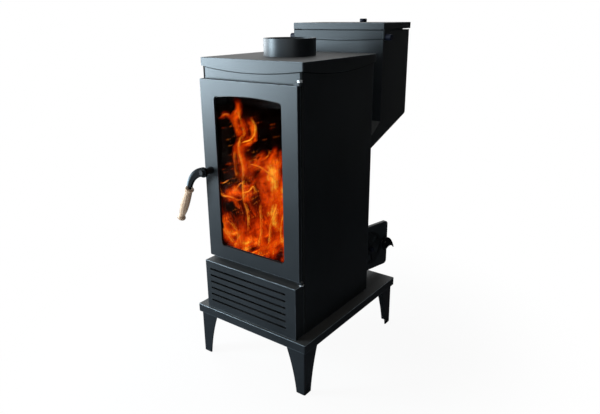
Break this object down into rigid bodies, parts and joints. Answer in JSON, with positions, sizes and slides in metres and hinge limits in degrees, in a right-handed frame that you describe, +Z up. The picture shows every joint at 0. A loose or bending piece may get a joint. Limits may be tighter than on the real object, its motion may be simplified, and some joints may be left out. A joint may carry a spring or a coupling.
{
  "type": "pellet stove",
  "caption": "Free-standing steel pellet stove on legs, with a windowed fire door, a rear gravity hopper with a lid, an ash hatch and a top flue collar.",
  "frame": {"origin": "on the floor, under the middle of the stove's outer box", "axes": "+Z up, -Y out of the fire door, +X to the right of someone facing the door"},
  "size_m": [0.4808, 0.661, 1.033],
  "materials": {
    "stove_paint": "satin heat-proof paint, fine texture",
    "gloss_black": "gloss",
    "bare_steel": "mill finish, heat-dulled",
    "zinc": "bright zinc plate",
    "iron": "raw, sooty",
    "firebrick": "matt vermiculite board",
    "rope": "braided glass-fibre rope",
    "glass": "clear ceramic glass",
    "beech": "turned, satin lacquer",
    "black_plastic": "moulded, heat-proof"
  },
  "bodies": {
    "stove": {"air_cover": "stove_paint", "ash_pan_rails": "bare_steel", "baffle_plate": "firebrick", "base_plate": "stove_paint", "body_casing": "stove_paint", "burn_pot": "iron", "burn_pot_grate": "iron", "chute_cheeks": "bare_steel", "chute_flange": "stove_paint", "chute_nuts": "zinc", "firebox_floor": "bare_steel", "flue_collar": "stove_paint", "hatch_brackets": "stove_paint", "hatch_pins": "zinc", "hinge_tabs": "stove_paint", "hopper_shell": "stove_paint", "hopper_slide": "bare_steel", "hopper_top_frame": "stove_paint", "inner_chute": "bare_steel", "latch_keeper": "stove_paint", "left_lining": "firebrick", "leg_front_left": "stove_paint", "leg_front_right": "stove_paint", "leg_nuts": "zinc", "leg_rear_left": "stove_paint", "leg_rear_right": "stove_paint", "lid_pivot_caps": "black_plastic", "lid_pivot_studs": "zinc", "rear_lining": "firebrick", "rear_panel": "stove_paint", "right_lining": "firebrick", "top_cap": "stove_paint"},
    "door": {"door_shell": "stove_paint", "door_gasket": "rope", "gasket_channel": "bare_steel", "door_glass": "glass", "glass_seal": "rope", "glass_clips": "bare_steel", "clip_screws": "zinc", "hinge_lugs": "stove_paint", "hinge_bolts": "zinc", "handle_sleeve": "gloss_black"},
    "handle": {"handle_bar": "gloss_black", "handle_grip": "beech", "grip_nut": "zinc", "latch_spindle": "bare_steel", "spindle_nuts": "zinc", "latch_tongue": "bare_steel"},
    "lid": {"hopper_lid": "stove_paint", "lid_gasket": "rope", "lid_knob": "black_plastic"},
    "hatch": {"rear_hatch": "stove_paint", "hatch_gasket": "rope"},
    "hatch_latch": {"hatch_spindle": "bare_steel", "hatch_lever": "gloss_black", "hatch_tongue": "bare_steel"},
    "air_vent": {"air_disc": "stove_paint", "air_disc_knob": "black_plastic"},
    "pan": {"ash_pan": "bare_steel", "ash_pan_pull": "bare_steel"}
  },
  "joints": [
    {"name": "door_hinge", "type": "hinge", "parent": "stove", "child": "door", "pos_m": [0.2014, -0.27478, 0.612], "axis": [0, 0, 1], "range_deg": [0, 115]},
    {"name": "door_handle", "type": "hinge", "parent": "door", "child": "handle", "pos_m": [-0.1181, -0.31578, 0.618], "axis": [0, 1, 0], "range_deg": [-28, 65]},
    {"name": "hopper_lid", "type": "hinge", "parent": "stove", "child": "lid", "pos_m": [0.0289, 0.16772, 0.98], "axis": [1, 0, 0], "range_deg": [0, 100]},
    {"name": "rear_hatch", "type": "hinge", "parent": "stove", "child": "hatch", "pos_m": [0.12665, 0.09722, 0.269], "axis": [0, 0, -1], "range_deg": [-102.4, 20]},
    {"name": "hatch_latch", "type": "hinge", "parent": "hatch", "child": "hatch_latch", "pos_m": [0.16273, 0.2613, 0.277], "axis": [-0.9767, 0.2147, 0], "range_deg": [0, 95]},
    {"name": "air_vent", "type": "hinge", "parent": "hatch", "child": "air_vent", "pos_m": [0.14764, 0.19269, 0.269], "axis": [0.9767, -0.2147, 0], "range_deg": [0, 36]},
    {"name": "ash_pan_slide", "type": "slide", "parent": "stove", "child": "pan", "axis": [0, 1, 0], "range_m": [0, 0.28]}
  ]
}
